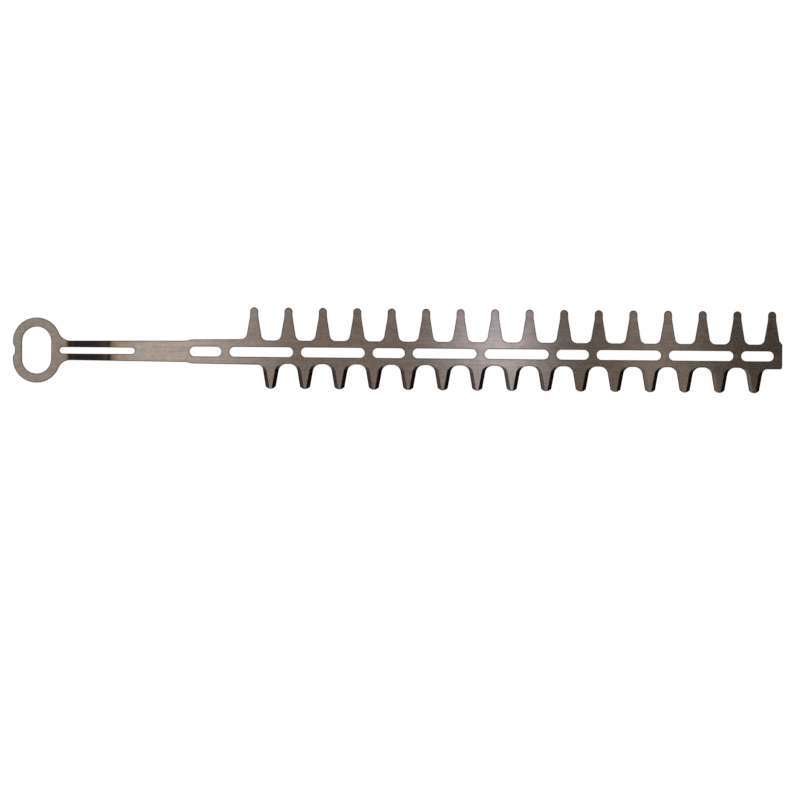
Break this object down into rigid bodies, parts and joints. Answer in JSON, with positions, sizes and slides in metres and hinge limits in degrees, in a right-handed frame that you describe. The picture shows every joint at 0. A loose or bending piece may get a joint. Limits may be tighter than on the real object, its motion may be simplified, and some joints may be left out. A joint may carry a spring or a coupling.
{
  "type": "hedge trimmer blade",
  "caption": "Flat steel hedge trimmer blade with blunt combing teeth along an edge, bevelled cutting teeth along the other, guide slots and a drive eye at the shank end.",
  "frame": {"origin": "centre of the drive eye, on the flat mating face", "axes": "+X along the blade to its free end, +Y to the long combing teeth, +Z out of the bevelled face"},
  "size_m": [0.7818, 0.0827, 0.0023],
  "materials": {
    "ground_steel": "ground spring steel with a fine satin grain, and a blue-black heat band across the shank"
  },
  "bodies": {
    "root": {"trimmer_blade": "ground_steel"}
  },
  "joints": []
}
